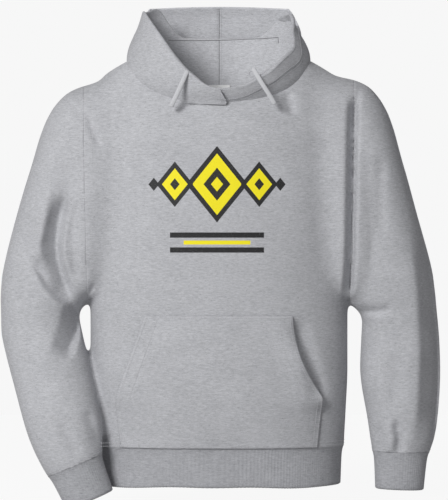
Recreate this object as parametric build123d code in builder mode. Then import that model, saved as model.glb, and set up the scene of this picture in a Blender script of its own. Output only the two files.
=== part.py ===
from build123d import *
from collections import namedtuple
from math import cos, hypot, radians, sin
import os

# Pullover hooded sweatshirt, size medium, as it hangs on a wearer with the hood pushed back.
# Millimetres. X is the wearer's left, the front faces -Y, Z is up, origin at the base of the neck.

FLEECE = 3.0          # body, sleeve and pocket cloth
RIB = 4.0             # cuffs and waistband, folded double
HOOD_CLOTH = 5.0      # hood, two layers
SEAT = 0.3            # play between pieces that are sewn together
END_ROUND = 0.7       # 1 makes the ovals ellipses, less makes them boxier
NOT_ROUND = 0.3       # an oval is at least this much wider or narrower than deep
BAND_TOP = -631.0
BAND_HEIGHT = 62.0
CUFF_LENGTH = 60.0

# Neck hole in the body, seen from above.
NECK_HALF_WIDTH = 90.0
NECK_FRONT = 86.0
NECK_BACK = 76.0

# Armhole line of each side, from above the shoulder down to the armpit.
ARMHOLE_TOP = (224.0, 70.0)
ARMPIT = (214.0, -380.0)
ARMPIT_FOOT = -430.0   # the seam runs on straight down to here, clear of both

Ring = namedtuple("Ring", "z half_width front back")
BODY_RINGS = [
    Ring(BAND_TOP, 206, 116, 106),
    Ring(-520, 212, 122, 111),
    Ring(-380, 212, 126, 114),
    Ring(-240, 211, 126, 114),
    Ring(-130, 210, 113, 106),
    Ring(-60, 206, 92, 90),
    Ring(-22, 192, 74, 76),
    Ring(2, 152, 58, 62),
    Ring(22, 100, 40, 44),
]

# Sleeve sections down the arm; lean is the arm's slope outwards from straight down.
Arm = namedtuple("Arm", "x y z lean half_width half_depth")
LEFT_ARM = [
    Arm(110, 0, -80, 62, 64, 62),
    Arm(190, 0, -100, 45, 84, 74),
    Arm(244, -2, -178, 14, 60, 82),
    Arm(262, -4, -265, 11, 66, 82),
    Arm(275, -8, -345, 8, 75, 78.5),
    Arm(281, -10, -395, 5, 76, 73),
    Arm(297, -14, -445, 3, 65, 65),
    Arm(298, -20, -515, 0, 66, 60),
    Arm(301, -26, -585, -1, 58, 54),
    Arm(300, -29, -622, -2, 52, 48),
    Arm(298, -30, -640, -2, 47, 42),
]
RIGHT_ARM = [
    Arm(110, 0, -84, 60, 64, 62),
    Arm(195, 0, -112, 44, 84, 74),
    Arm(251, -2, -190, 14, 61, 82),
    Arm(271, -6, -275, 12, 66, 82),
    Arm(279, -11, -348, 8, 76, 78.5),
    Arm(282, -15, -398, 3, 78, 73),
    Arm(293, -24, -445, -4, 64, 65),
    Arm(273, -50, -515, -14, 64, 60),
    Arm(252, -76, -592, -16, 62, 54),
    Arm(239, -88, -638, -20, 54, 48),
    Arm(233, -92, -658, -23, 48, 42),
]
CUFF_SLIM = 3.0       # how much the cuff draws in at its top
CUFF_TAPER = 7.0      # and further down to the wrist

# Hood sections, each from a front point to a back point in the middle plane.
Brim = namedtuple("Brim", "front_y front_z back_y back_z half_width")
HOOD_OUTSIDE = [
    Brim(-84, -100, 72, -66, 104),
    Brim(-98, -72, 82, -12, 138),
    Brim(-112, -50, 92, 44, 148),
    Brim(-119, 22, 94, 95, 131),
]
HOOD_INSIDE = [
    Brim(-80, -106, 70, -72, 89),
    Brim(-89, -72, 75, -18, 94),
    Brim(-106, -50, 82, 42, 116),
    Brim(-114, 22, 89, 95, 126),
]
# The two front edges of the hood rise from the throat like the sides of a V.
Edge_point = namedtuple("Edge_point", "x z")
THROAT = [
    Edge_point(0, -42),
    Edge_point(46, -22),
    Edge_point(70, -3),
    Edge_point(86, 20),
    Edge_point(116, 60),
    Edge_point(116, 200),
]
THROAT_DEPTH = 30.0   # how far back from the origin the V is open

# The crown of the hood hangs down behind as a pouch.
Pouch = namedtuple("Pouch", "z y half_width half_depth")
CROWN = [
    Pouch(95, 97, 122, 20),
    Pouch(48, 104, 139, 30),
    Pouch(-5, 117, 130, 36),
    Pouch(-80, 130, 104, 34),
    Pouch(-150, 138, 62, 24),
]

# Kangaroo pocket on the front, half widths at its top, at its corner and at the waistband.
POCKET_TOP = -416.0
POCKET_CORNER = -551.0
POCKET_TOP_HALF = 120.0
POCKET_CORNER_HALF = 170.0
POCKET_FOOT_HALF = 161.0
POCKET_ROOM = 22.0
POCKET_SEAM = 8.0

# Free ends of the drawcords, from the eyelet in the hood's edge down over the chest.
CORD = 7.0
CORD_BEND = 30.0      # radius of each bend in a cord
EYELET_X = 54.0
EYELET_Z = -27.0
EYELET = 6.5          # radius of the stitched eyelet
EYELET_RAISED = 1.2
Run = namedtuple("Run", "out front down")
LEFT_RUNS = [Run(0, 0, 0), Run(14, 6, 20), Run(28, 4, 42), Run(38, 0, 58)]
RIGHT_RUNS = [Run(0, 0, 0), Run(10, 6, 20), Run(20, 4, 42), Run(27, 0, 58)]

LABEL_WIDTH = 38.0
LABEL_DROP = 26.0
LABEL_CLOTH = 0.8
LABEL_TOP = -24.0


def oval(half_width, front, back):
    """Where the four tangent arcs of an oval meet, at the right of its front and back."""
    if half_width < min(front, back):
        along, across = oval(front, half_width, half_width)[0]
        return [(-across, -along), (-across, along)]
    depth = min(front, back)
    r = depth * (depth / half_width) ** END_ROUND
    ends = []
    for depth, way in ((front, -1), (back, 1)):
        rise = ((half_width - r) ** 2 - (depth - r) ** 2) / (2 * (depth - r))
        reach = (depth + rise) / hypot(half_width - r, rise)
        ends.append((reach * (half_width - r), way * (reach - 1) * rise))
    return ends


def through(sections):
    """Solid lofted through (plane, half_width, front, back) sections."""
    with BuildPart() as form:
        for plane, half_width, front, back in sections:
            if abs(half_width - front) < NOT_ROUND:
                half_width = front + NOT_ROUND
            (fx, fy), (bx, by) = oval(half_width, front, back)
            with BuildSketch(plane):
                with BuildLine():
                    ThreePointArc((-fx, fy), (0, -front), (fx, fy))
                    ThreePointArc((fx, fy), (half_width, 0), (bx, by))
                    ThreePointArc((bx, by), (0, back), (-bx, by))
                    ThreePointArc((-bx, by), (-half_width, 0), (-fx, fy))
                make_face()
        loft(ruled=True)
    return form.part


def body_form(grow):
    rings = [(Plane((0, 0, s.z)), s.half_width, s.front, s.back) for s in BODY_RINGS]
    return through([(p, w + grow, f + grow, b + grow) for p, w, f, b in rings])


def neck_form(grow):
    sizes = [size + grow for size in (NECK_HALF_WIDTH, NECK_FRONT, NECK_BACK)]
    return through([(Plane((0, 0, z)), *sizes) for z in (-200, 100)])


def arm_plane(side, arm):
    lean = radians(arm.lean)
    return Plane(
        origin=(side * arm.x, arm.y, arm.z),
        x_dir=(cos(lean), 0, side * sin(lean)),
        z_dir=(-side * sin(lean), 0, cos(lean)),
    )


def arm_form(side, arms, grow):
    return through([
        (arm_plane(side, a), a.half_width + grow, a.half_depth + grow, a.half_depth + grow)
        for a in arms
    ])


def brim_form(brims):
    sections = []
    for b in brims:
        run, climb = b.back_y - b.front_y, b.back_z - b.front_z
        plane = Plane(
            origin=(0, (b.front_y + b.back_y) / 2, (b.front_z + b.back_z) / 2),
            x_dir=(1, 0, 0),
            z_dir=(0, -climb, run),
        )
        half = hypot(run, climb) / 2
        sections.append((plane, b.half_width, half, half))
    return through(sections)


def crown_form(grow):
    return through([
        (Plane((0, c.y, c.z)), c.half_width + grow, c.half_depth + grow, c.half_depth + grow)
        for c in CROWN
    ])


ARMS = {1: LEFT_ARM, -1: RIGHT_ARM}
body_outside = body_form(0)
body_clear = body_form(SEAT)
neck_hole = neck_form(0)

# The whole shell of body and sleeves, before it is parted at the seams.
with BuildPart() as shell:
    add(body_outside)
    for side, arms in ARMS.items():
        add(arm_form(side, arms, 0))
    add(body_form(-FLEECE), mode=Mode.SUBTRACT)
    for side, arms in ARMS.items():
        add(arm_form(side, arms, -FLEECE), mode=Mode.SUBTRACT)
    add(neck_hole, mode=Mode.SUBTRACT)


def sleeve_side(side):
    """Block of space outside the armhole line, down to the armpit."""
    with BuildPart() as block:
        with BuildSketch(Plane.XZ):
            Polygon(
                (side * ARMHOLE_TOP[0], ARMHOLE_TOP[1]),
                (side * ARMPIT[0], ARMPIT[1]),
                (side * ARMPIT[0], ARMPIT_FOOT),
                (side * 450, ARMPIT_FOOT),
                (side * 450, ARMHOLE_TOP[1]),
                align=None,
            )
        extrude(amount=200, both=True)
    return block.part


with BuildPart() as parted:
    add(shell.part)
    for side in ARMS:
        add(sleeve_side(side), mode=Mode.SUBTRACT)
lower_right, trunk, lower_left = parted.part.solids().sort_by(Axis.X)

with BuildPart() as left_sleeve:
    add(shell.part)
    add(sleeve_side(1), mode=Mode.INTERSECT)
    add(lower_left)

with BuildPart() as right_sleeve:
    add(shell.part)
    add(sleeve_side(-1), mode=Mode.INTERSECT)
    add(lower_right)


def sleeve_fold(arms):
    """Plane down the arm from the underarm seam to the outer fold, facing back."""
    top, wrist = arms[3], arms[-1]
    return Plane(
        origin=(0, top.y, top.z),
        x_dir=(1, 0, 0),
        z_dir=(0, top.z - wrist.z, wrist.y - top.y),
    )


with BuildPart() as left_sleeve_front:
    add(left_sleeve.part)
    split(bisect_by=sleeve_fold(LEFT_ARM), keep=Keep.BOTTOM)

with BuildPart() as left_sleeve_back:
    add(left_sleeve.part)
    split(bisect_by=sleeve_fold(LEFT_ARM), keep=Keep.TOP)

with BuildPart() as right_sleeve_front:
    add(right_sleeve.part)
    split(bisect_by=sleeve_fold(RIGHT_ARM), keep=Keep.BOTTOM)

with BuildPart() as right_sleeve_back:
    add(right_sleeve.part)
    split(bisect_by=sleeve_fold(RIGHT_ARM), keep=Keep.TOP)

with BuildPart() as front_body:
    add(trunk)
    split(bisect_by=Plane.XZ, keep=Keep.TOP)

with BuildPart() as back_body:
    add(trunk)
    split(bisect_by=Plane.XZ, keep=Keep.BOTTOM)


def cuff(side, arms):
    """Rib cuff from the sleeve's last section, drawn in towards the wrist."""
    last = arms[-1]
    top = arm_plane(side, last).offset(-SEAT)
    foot = arm_plane(side, last).offset(-CUFF_LENGTH)
    rows = [
        (top, last.half_width - 0.5, last.half_depth - 0.5),
        (top.offset(-6), last.half_width - CUFF_SLIM, last.half_depth - CUFF_SLIM),
        (foot, last.half_width - CUFF_TAPER, last.half_depth - CUFF_TAPER),
    ]
    with BuildPart() as ring:
        add(through([(p, w, d, d) for p, w, d in rows]))
        add(through([(p, w - RIB, d - RIB, d - RIB) for p, w, d in rows]), mode=Mode.SUBTRACT)
    return ring.part


with BuildPart() as left_cuff:
    add(cuff(1, LEFT_ARM))

with BuildPart() as right_cuff:
    add(cuff(-1, RIGHT_ARM))

band_rows = [(-SEAT, -0.5), (-8, -3), (-BAND_HEIGHT, -5)]
hem = BODY_RINGS[0]


def band_form(grow):
    rows = [(Plane((0, 0, BAND_TOP + dz)), d + grow) for dz, d in band_rows]
    return through([(p, hem.half_width + d, hem.front + d, hem.back + d) for p, d in rows])


with BuildPart() as waistband:
    add(band_form(0))
    add(band_form(-RIB), mode=Mode.SUBTRACT)

with BuildPart() as hood:
    add(brim_form(HOOD_OUTSIDE))
    add(crown_form(0))
    add(brim_form(HOOD_INSIDE), mode=Mode.SUBTRACT)
    add(crown_form(-HOOD_CLOTH), mode=Mode.SUBTRACT)
    add(body_clear, mode=Mode.SUBTRACT)
    with BuildSketch(Plane.XZ.offset(-THROAT_DEPTH)):
        mirrored = [(-p.x, p.z) for p in reversed(THROAT[1:])]
        Polygon(*mirrored, *THROAT, align=None)
    extrude(amount=300, mode=Mode.SUBTRACT)

with BuildPart() as left_hood:
    add(hood.part)
    split(bisect_by=Plane.YZ, keep=Keep.TOP)

with BuildPart() as right_hood:
    add(hood.part)
    split(bisect_by=Plane.YZ, keep=Keep.BOTTOM)


def body_at(z):
    """Half width, front and back of the body at a height between its rings."""
    for low, high in zip(BODY_RINGS, BODY_RINGS[1:]):
        if low.z <= z <= high.z:
            share = (z - low.z) / (high.z - low.z)
            return [p + share * (q - p) for p, q in zip(low[1:], high[1:])]


def pocket_form(grow):
    """The body's front swelled out by the room in the pocket."""
    height = POCKET_TOP - BAND_TOP
    rows = []
    for share, room in ((0, 0), (0.15, 0.6), (0.4, 1), (0.8, 0.7), (1, 0)):
        z = BAND_TOP + share * height
        out = grow + room * POCKET_ROOM
        rows.append((Plane((0, 0, z)), *[size + out for size in body_at(z)]))
    return through(rows)


pocket_edge = [
    (POCKET_TOP_HALF, POCKET_TOP),
    (POCKET_CORNER_HALF, POCKET_CORNER),
    (POCKET_FOOT_HALF, BAND_TOP),
]
with BuildPart() as pocket_cloth:
    add(pocket_form(SEAT + FLEECE))
    add(pocket_form(SEAT), mode=Mode.SUBTRACT)
    with BuildSketch(Plane.XZ):
        Polygon(*pocket_edge, *[(-x, z) for x, z in reversed(pocket_edge)], align=None)
    extrude(amount=300, mode=Mode.INTERSECT)

# Seams that close the pocket's sides below its openings.
with BuildPart() as pocket_seams:
    add(pocket_form(SEAT))
    with BuildSketch(Plane.XZ):
        for side in ARMS:
            Polygon(
                (side * POCKET_CORNER_HALF, POCKET_CORNER),
                (side * POCKET_FOOT_HALF, BAND_TOP),
                (side * (POCKET_FOOT_HALF - POCKET_SEAM), BAND_TOP),
                (side * (POCKET_CORNER_HALF - POCKET_SEAM), POCKET_CORNER),
                align=None,
            )
    extrude(amount=300, mode=Mode.INTERSECT)

with BuildPart() as kangaroo_pocket:
    add(pocket_cloth.part)
    add(pocket_seams.part)
    add(body_clear, mode=Mode.SUBTRACT)


def on_front(piece, x, z):
    """Plane on the foremost skin of a piece at x and z, facing out of it."""
    ray = Axis((x, -500, z), (0, 1, 0))
    spot, out = min(piece.find_intersection_points(ray), key=lambda hit: hit[0].Y)
    return Plane(origin=spot, z_dir=out if out.Y < 0 else -out)


def eyelet(side):
    with BuildPart() as ring:
        with BuildSketch(on_front(hood.part, side * EYELET_X, EYELET_Z).offset(SEAT)):
            Circle(EYELET)
        extrude(amount=EYELET_RAISED)
    return ring.part


def drawcord(side, runs):
    """Round cord that starts at the eyelet and hangs over the chest."""
    skin = on_front(hood.part, side * EYELET_X, EYELET_Z)
    start = skin.origin + skin.z_dir * (2 * SEAT + EYELET_RAISED + CORD / 2)
    points = [(start.X + side * r.out, start.Y - r.front, start.Z - r.down) for r in runs]
    with BuildPart() as cord:
        with BuildLine() as route:
            FilletPolyline(*points, radius=CORD_BEND)
        with BuildSketch(Plane(origin=route.line @ 0, z_dir=route.line % 0)):
            Circle(CORD / 2)
        sweep(path=route.line)
    length = sum(edge.length for edge in route.line.edges())
    print("cord", side, "length", round(length, 1), "bends", CORD_BEND)
    print("route", [tuple(round(c, 1) for c in p) for p in points])
    return cord.part


with BuildPart() as left_eyelet:
    add(eyelet(1))

with BuildPart() as right_eyelet:
    add(eyelet(-1))

with BuildPart() as left_drawcord:
    add(drawcord(1, LEFT_RUNS))

with BuildPart() as right_drawcord:
    add(drawcord(-1, RIGHT_RUNS))

with BuildPart() as neck_label:
    with Locations((0, NECK_BACK, LABEL_TOP - LABEL_DROP / 2)):
        Box(LABEL_WIDTH, NECK_BACK, LABEL_DROP)
    add(neck_form(-SEAT), mode=Mode.INTERSECT)
    add(neck_form(-SEAT - LABEL_CLOTH), mode=Mode.SUBTRACT)

SUBPARTS = {
    "front_body": front_body,
    "back_body": back_body,
    "left_sleeve_front": left_sleeve_front,
    "left_sleeve_back": left_sleeve_back,
    "right_sleeve_front": right_sleeve_front,
    "right_sleeve_back": right_sleeve_back,
    "left_cuff": left_cuff,
    "right_cuff": right_cuff,
    "waistband": waistband,
    "left_hood": left_hood,
    "right_hood": right_hood,
    "kangaroo_pocket": kangaroo_pocket,
    "left_eyelet": left_eyelet,
    "right_eyelet": right_eyelet,
    "left_drawcord": left_drawcord,
    "right_drawcord": right_drawcord,
    "neck_label": neck_label,
}
os.makedirs("parts", exist_ok=True)
for label, piece in SUBPARTS.items():
    piece.part.label = label
    export_step(piece.part, f"parts/{label}.step")
    print(label, len(piece.part.solids()), round(piece.part.volume))
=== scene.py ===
import math
from collections import namedtuple

import bmesh
import bpy
import numpy as np
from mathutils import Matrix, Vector
from mathutils.bvhtree import BVHTree


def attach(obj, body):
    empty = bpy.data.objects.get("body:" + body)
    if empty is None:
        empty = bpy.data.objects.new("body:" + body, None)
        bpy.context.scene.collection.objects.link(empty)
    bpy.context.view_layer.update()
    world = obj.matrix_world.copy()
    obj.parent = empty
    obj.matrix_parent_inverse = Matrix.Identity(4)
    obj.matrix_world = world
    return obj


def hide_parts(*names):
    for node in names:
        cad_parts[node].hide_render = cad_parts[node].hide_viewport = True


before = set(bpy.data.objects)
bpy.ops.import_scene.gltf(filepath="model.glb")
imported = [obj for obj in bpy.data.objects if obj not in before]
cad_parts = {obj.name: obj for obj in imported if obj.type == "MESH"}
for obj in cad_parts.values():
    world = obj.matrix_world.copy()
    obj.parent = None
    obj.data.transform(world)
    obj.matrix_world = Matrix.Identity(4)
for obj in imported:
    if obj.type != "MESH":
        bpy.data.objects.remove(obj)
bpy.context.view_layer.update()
scene = bpy.context.scene
MM = 0.001

# Forms of the garment in millimetres, close to those of the part.
Ring = namedtuple("Ring", "z half_width front back")
BODY_RINGS = [
    Ring(-660, 205, 115, 105),
    Ring(-631, 206, 116, 106),
    Ring(-520, 212, 122, 111),
    Ring(-380, 212, 126, 114),
    Ring(-240, 211, 126, 114),
    Ring(-130, 210, 113, 106),
    Ring(-60, 206, 92, 90),
    Ring(-22, 192, 74, 76),
    Ring(2, 152, 58, 62),
    Ring(22, 100, 40, 44),
]
Arm = namedtuple("Arm", "x y z lean half_width half_depth")
LEFT_ARM = [
    Arm(110, 0, -80, 62, 64, 62),
    Arm(190, 0, -100, 45, 84, 74),
    Arm(244, -2, -178, 14, 60, 82),
    Arm(262, -4, -265, 11, 66, 82),
    Arm(275, -8, -345, 8, 75, 78.5),
    Arm(285, -10, -388, 5, 72, 74),
    Arm(296.5, -12, -413, 4, 62.5, 69),
    Arm(298, -14, -445, 3, 64, 65),
    Arm(298, -20, -515, 0, 66, 60),
    Arm(301, -26, -585, -1, 58, 54),
    Arm(300, -29, -622, -2, 52, 48),
    Arm(298, -30, -640, -2, 47, 42),
    Arm(297.5, -30, -655, -2, 46, 41),
]
RIGHT_ARM = [
    Arm(110, 0, -84, 60, 64, 62),
    Arm(195, 0, -112, 44, 84, 74),
    Arm(251, -2, -190, 14, 61, 82),
    Arm(271, -6, -275, 12, 66, 82),
    Arm(279, -11, -348, 8, 76, 78.5),
    Arm(287, -15, -388, 3, 73, 74),
    Arm(294, -18, -413, 0, 64.5, 69),
    Arm(291, -24, -445, -4, 66, 65),
    Arm(273, -50, -515, -14, 64, 60),
    Arm(252, -76, -592, -16, 62, 54),
    Arm(239, -88, -638, -20, 54, 48),
    Arm(233, -92, -658, -23, 48, 42),
    Arm(227, -93, -672, -23, 47, 41),
]
# Cloth that spans from the body to each sleeve above the armpit.
WEB = [
    Arm(196, -2, -110, 8, 40, 76),
    Arm(204, -4, -160, 8, 52, 88),
    Arm(212, -5, -240, 8, 56, 92),
    Arm(218, -8, -320, 8, 50, 88),
    Arm(218, -9, -360, 8, 34, 78),
    Arm(216, -10, -384, 8, 14, 60),
]
CUFF_ROW = -2          # the sleeve ends at this row, the last only closes the form
BODY_STEPS = 90        # rings up the body's form
ARM_STEPS = 5          # rings from row to row of a sleeve's form
BODY_ROUND = 2.35      # power of the body's oval: two is round, and more is squarer
ARM_ROUND = 2.15
BAND_TOP = -631.0
BAND_HEIGHT = 62.0
CUFF_LENGTH = 60.0
NECK = (118.0, 88.0, 78.0)   # the neck's half width, and its reach to the front and to the back
NECK_ROUND = 2.3
NECK_FOOT = -140.0     # nothing is cut for the neck below this height
ARMHOLE_TOP = (224.0, 70.0)
ARMPIT = (214.0, -380.0)
ARMPIT_FOOT = -430.0
CLEAR_ROUND = 2.4      # below the armpit a sleeve is what lies outside the body's oval of this power,
CLEAR_SUM = 1.12       # where the powers add up to more than this
CELL = 4.0             # size of the cloth mesh's cells
FLEECE = 2.6

VIEW = 5000.0          # distance of the camera
FRAME_HIGH = 825.0     # height in view at the origin
PICTURE = (448, 500)   # width and height of the picture, in pixels
AIM = (8.25, -310.0)   # X and Z in the picture's middle


def seen(px, py, y=-100.0):
    """Millimetres in X and Z of a place seen at px, py in the picture, at a depth of y."""
    scale = FRAME_HIGH / PICTURE[1] * (VIEW + y) / VIEW
    return AIM[0] + (px - PICTURE[0] / 2) * scale, AIM[1] + (PICTURE[1] / 2 - py) * scale


def rising(values, start, run):
    """Share that grows from none at the start to one after the run."""
    return np.clip((values - start) / run, 0, 1)


def falling(values, end, run):
    """Share that shrinks over the run to none at the end."""
    return np.clip((end - values) / run, 0, 1)


def eased_share(share):
    return share * share * (3 - 2 * share)


def new_object(name, mesh):
    obj = bpy.data.objects.new(name, mesh)
    scene.collection.objects.link(obj)
    return obj


def baked(obj):
    """Mesh of an object with its modifiers applied."""
    graph = bpy.context.evaluated_depsgraph_get()
    mesh = bpy.data.meshes.new_from_object(obj.evaluated_get(graph))
    obj.modifiers.clear()
    old, obj.data = obj.data, mesh
    mesh.name = obj.name
    bpy.data.meshes.remove(old)
    return obj


def tube(rings, closed=True):
    """Quads through rings of points, with both ends closed where asked."""
    rows, around = len(rings), len(rings[0])
    verts = [tuple(p) for ring in rings for p in ring]
    faces = []
    for i in range(rows - 1):
        for j in range(around):
            k = (j + 1) % around
            a, b = i * around, (i + 1) * around
            faces.append((a + j, a + k, b + k, b + j))
    if closed:
        faces.append(tuple(reversed(range(around))))
        faces.append(tuple(range((rows - 1) * around, rows * around)))
    return verts, faces


def oval(half_width, front, back, around=72, power=BODY_ROUND):
    t = np.arange(around) / around * 2 * math.pi
    c, s = np.cos(t), np.sin(t)
    x = half_width * np.sign(c) * np.abs(c) ** (2 / power)
    y = np.where(s < 0, front, back) * np.sign(s) * np.abs(s) ** (2 / power)
    return x, y


def between(rows, steps):
    """Rows of a table with even steps put in between, eased by a spline."""
    table = np.array(rows, float)
    ends = np.vstack([2 * table[0] - table[1], table, 2 * table[-1] - table[-2]])
    out = []
    for i in range(1, len(ends) - 2):
        a, b, c, d = ends[i - 1:i + 3]
        for k in range(steps):
            t = k / steps
            out.append(0.5 * (2 * b + (c - a) * t + (2 * a - 5 * b + 4 * c - d) * t ** 2
                              + (3 * b - a - 3 * c + d) * t ** 3))
    return np.array(out + [table[-1]])


def body_at(z):
    zs = [r.z for r in BODY_RINGS]
    return [np.interp(z, zs, [r[k] for r in BODY_RINGS]) for k in (1, 2, 3)]


def body_tube():
    rings = []
    for z in np.linspace(BODY_RINGS[0].z, BODY_RINGS[-1].z, BODY_STEPS):
        x, y = oval(*body_at(z))
        rings.append(np.column_stack([x, y, np.full_like(x, z)]))
    return tube(rings)


def arm_ring(side, row, around=56, grow=0.0):
    x0, y0, z0, lean, w, d = row
    lean = math.radians(lean)
    u, v = oval(w + grow, d + grow, d + grow, around, ARM_ROUND)
    if side < 0:
        u = -u
    return np.column_stack([
        side * x0 + u * math.cos(lean), y0 + v, z0 + side * u * math.sin(lean)])


def arm_tube(side, arms):
    rings = [arm_ring(side, row) for row in between(arms, ARM_STEPS)]
    return tube([ring[::-1] if side < 0 else ring for ring in reversed(rings)])


def raw_mesh(name, parts):
    """One mesh of several lists of corners and faces in millimetres."""
    verts, faces = [], []
    for v, f in parts:
        start = len(verts)
        verts += [tuple(c * MM for c in p) for p in v]
        faces += [tuple(start + i for i in face) for face in f]
    mesh = bpy.data.meshes.new(name)
    mesh.from_pydata(verts, [], faces)
    mesh.validate()
    return mesh


def corners(mesh):
    co = np.empty(len(mesh.vertices) * 3)
    mesh.vertices.foreach_get("co", co)
    return co.reshape(-1, 3)


def put_corners(mesh, co):
    mesh.vertices.foreach_set("co", np.ascontiguousarray(co, dtype=np.float32).ravel())
    mesh.update()


def normals(mesh):
    n = np.empty(len(mesh.vertices) * 3)
    mesh.vertices.foreach_get("normal", n)
    return n.reshape(-1, 3)


def links(mesh):
    e = np.empty(len(mesh.edges) * 2, dtype=np.int64)
    mesh.edges.foreach_get("vertices", e)
    return e.reshape(-1, 2)


def eased(co, edges, turns, weight=0.5, share=None):
    """Corners moved turn by turn towards the mean of their neighbours."""
    count = np.bincount(edges.ravel(), minlength=len(co))[:, None]
    for _ in range(turns):
        mean = np.zeros_like(co)
        np.add.at(mean, edges[:, 0], co[edges[:, 1]])
        np.add.at(mean, edges[:, 1], co[edges[:, 0]])
        step = weight * (mean / np.maximum(count, 1) - co)
        if share is not None:
            step *= share[:, None]
        co = co + step
    return co


def armhole_x(z):
    """X of the armhole line at a height, both in millimetres."""
    share = falling(z, ARMHOLE_TOP[1], ARMHOLE_TOP[1] - ARMPIT[1])
    return ARMHOLE_TOP[0] + share * (ARMPIT[0] - ARMHOLE_TOP[0])


def is_sleeve(p):
    """Which of the points in millimetres lie on a sleeve."""
    x, y, z = np.abs(p[:, 0]), p[:, 1], p[:, 2]
    w, f, b = body_at(z)
    depth = np.where(y < 0, f, b)
    outside = (x / w) ** CLEAR_ROUND + (np.abs(y) / depth) ** CLEAR_ROUND > CLEAR_SUM
    return np.where(z > ARMPIT_FOOT, x > armhole_x(z), outside)


# Folds as lines seen from the front, top to bottom or left to right. Before is the reach of the
# slope on the viewer's left of the line or below it, after is the other slope's, in millimetres.
# A ramp has straight slopes, and fade is the share of its line over which it dies out at each end.
Fold = namedtuple("Fold", "side before after depth line ramp fade", defaults=[False, 0.2])
FOLDS = [
    # wearer's left sleeve
    Fold(1, 15, 4.5, -30,
         [(361, 92), (357, 107), (355.5, 134), (354.5, 187), (353.5, 251), (351, 304)], True, 0.1),
    Fold(1, 9, 9, -3, [(382, 150), (381, 195), (383, 236)]),
    Fold(1, 4, 8, -7, [(357, 313), (368, 313), (380, 312.5), (395, 310)]),
    Fold(1, 10, 5, 3, [(362, 319), (380, 318), (396, 316)]),
    Fold(1, 22, 9, 4, [(415, 232), (419, 300), (420, 360), (418, 420), (414, 448)]),
    Fold(1, 36, 20, -22, [(432, 225), (440, 290), (443, 350), (440, 410), (433, 452)], True),
    Fold(1, 6, 6, -9, [(396, 420), (401, 437), (399, 457)]),
    Fold(1, 8, 7, -4, [(376, 425), (380, 440), (379, 455)]),
    Fold(1, 8, 8, 4, [(388, 420), (391, 440), (390, 456)]),
    Fold(1, 12, 10, -3, [(395, 350), (398, 380), (392, 412)]),
    # wearer's right sleeve
    Fold(-1, 22, 14, -27, [(64, 190), (58, 222), (55, 244), (57, 262), (62, 280), (72, 306)], True),
    Fold(-1, 16, 5, 7, [(50, 204), (43, 228), (38, 246), (43, 262)]),
    Fold(-1, 3, 14, -11, [(28, 261), (40, 274), (46, 287), (56, 297), (70, 306), (80, 317)]),
    Fold(-1, 14, 4, 6, [(32, 270), (41, 282), (50, 295), (62, 304), (72, 311)]),
    Fold(-1, 30, 10, -25, [(82, 306), (74, 334), (65, 360)], True),
    Fold(-1, 10, 8, -6, [(76, 196), (72, 240), (76, 286)]),
    Fold(-1, 10, 14, 4, [(64, 214), (62, 245), (67, 276)]),
    Fold(-1, 3, 6, -6, [(77, 310), (86, 297), (95, 284)]),
    Fold(-1, 9, 9, -4, [(60, 420), (72, 440), (80, 456)]),
    Fold(-1, 8, 8, -5, [(86, 410), (94, 430), (98, 447)]),
    Fold(-1, 12, 14, -4, [(30, 330), (34, 370), (46, 410)]),
    # body
    Fold(0, 6, 4, -5, [(87, 112), (92, 128), (101, 150)]),
    Fold(0, 5, 5, -5, [(177, 112), (186, 106), (199, 101)]),
    Fold(0, 7, 9, -6, [(286, 91), (289, 102), (293, 115)]),
    Fold(0, 3, 3, -3, [(153, 68), (160, 78)]),
    Fold(0, 14, 12, -12, [(294, 316), (308, 355), (323, 404)]),
]
FOLD_FACING = (0.02, 0.4)      # how far cloth faces the front where folds start, and the run to a whole one
FOLD_END = 0.1                 # share of its depth that a fold keeps at its ends
SLEEVE_FOLDS = (150.0, 40.0)   # distance from the middle where a sleeve's folds start, and their run

# Places of the skin that are evened out further: the joint of body and sleeve, elbow and sleeve head.
Place = namedtuple("Place", "middle reach fade")
JOINT_X = Place(195, 48, 16)
JOINT_Z = Place(-185, 205, 50)
JOINT_FACING = (0.0, 0.35)
ELBOW_X = (250.0, 30.0)        # where it starts, and its run
ELBOW_Z = Place(-400, 50, 20)
HEAD_X = Place(236, 42, 14)
HEAD_Z = (-100.0, 30.0)        # where it starts, and its run
SKIN_TURNS, JOINT_TURNS, ROUGH_TURNS, FOLD_TURNS = 14, 120, 24, 1


def pressed(co, nor):
    """Corners moved straight back or forward by the folds, on the side that faces the front."""
    p = co / MM
    facing = rising(-nor[:, 1], *FOLD_FACING)
    move = np.zeros(len(p))
    for fold in FOLDS:
        line = np.array([seen(*q) for q in fold.line])
        lengths = np.linalg.norm(np.diff(line, axis=0), axis=1)
        best = np.full(len(p), np.inf)
        where, beside = np.zeros(len(p)), np.zeros(len(p))
        gone = 0.0
        for a, b, size in zip(line, line[1:], lengths):
            d = (b - a) / size
            rel = p[:, [0, 2]] - a
            t = np.clip(rel @ d, 0, size)
            far = np.linalg.norm(rel - t[:, None] * d, axis=1)
            near = far < best
            best[near] = far[near]
            beside[near] = rel[near] @ np.array([-d[1], d[0]])
            where[near] = (gone + t[near]) / lengths.sum()
            gone += size
        ends = eased_share(rising(np.minimum(where, 1 - where), 0, fold.fade))
        reach = np.where(beside < 0, fold.before, fold.after)
        slope = np.clip(1 - best / reach, 0, 1) if fold.ramp else np.exp(-(best / reach) ** 2)
        amount = fold.depth * slope * (FOLD_END + (1 - FOLD_END) * ends)
        if fold.side:
            amount *= rising(fold.side * p[:, 0], *SLEEVE_FOLDS)
        move += amount * facing
    return co - np.outer(move * MM, (0, 1, 0))


def within(values, place):
    return falling(np.abs(values - place.middle), place.reach, place.fade)


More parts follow.
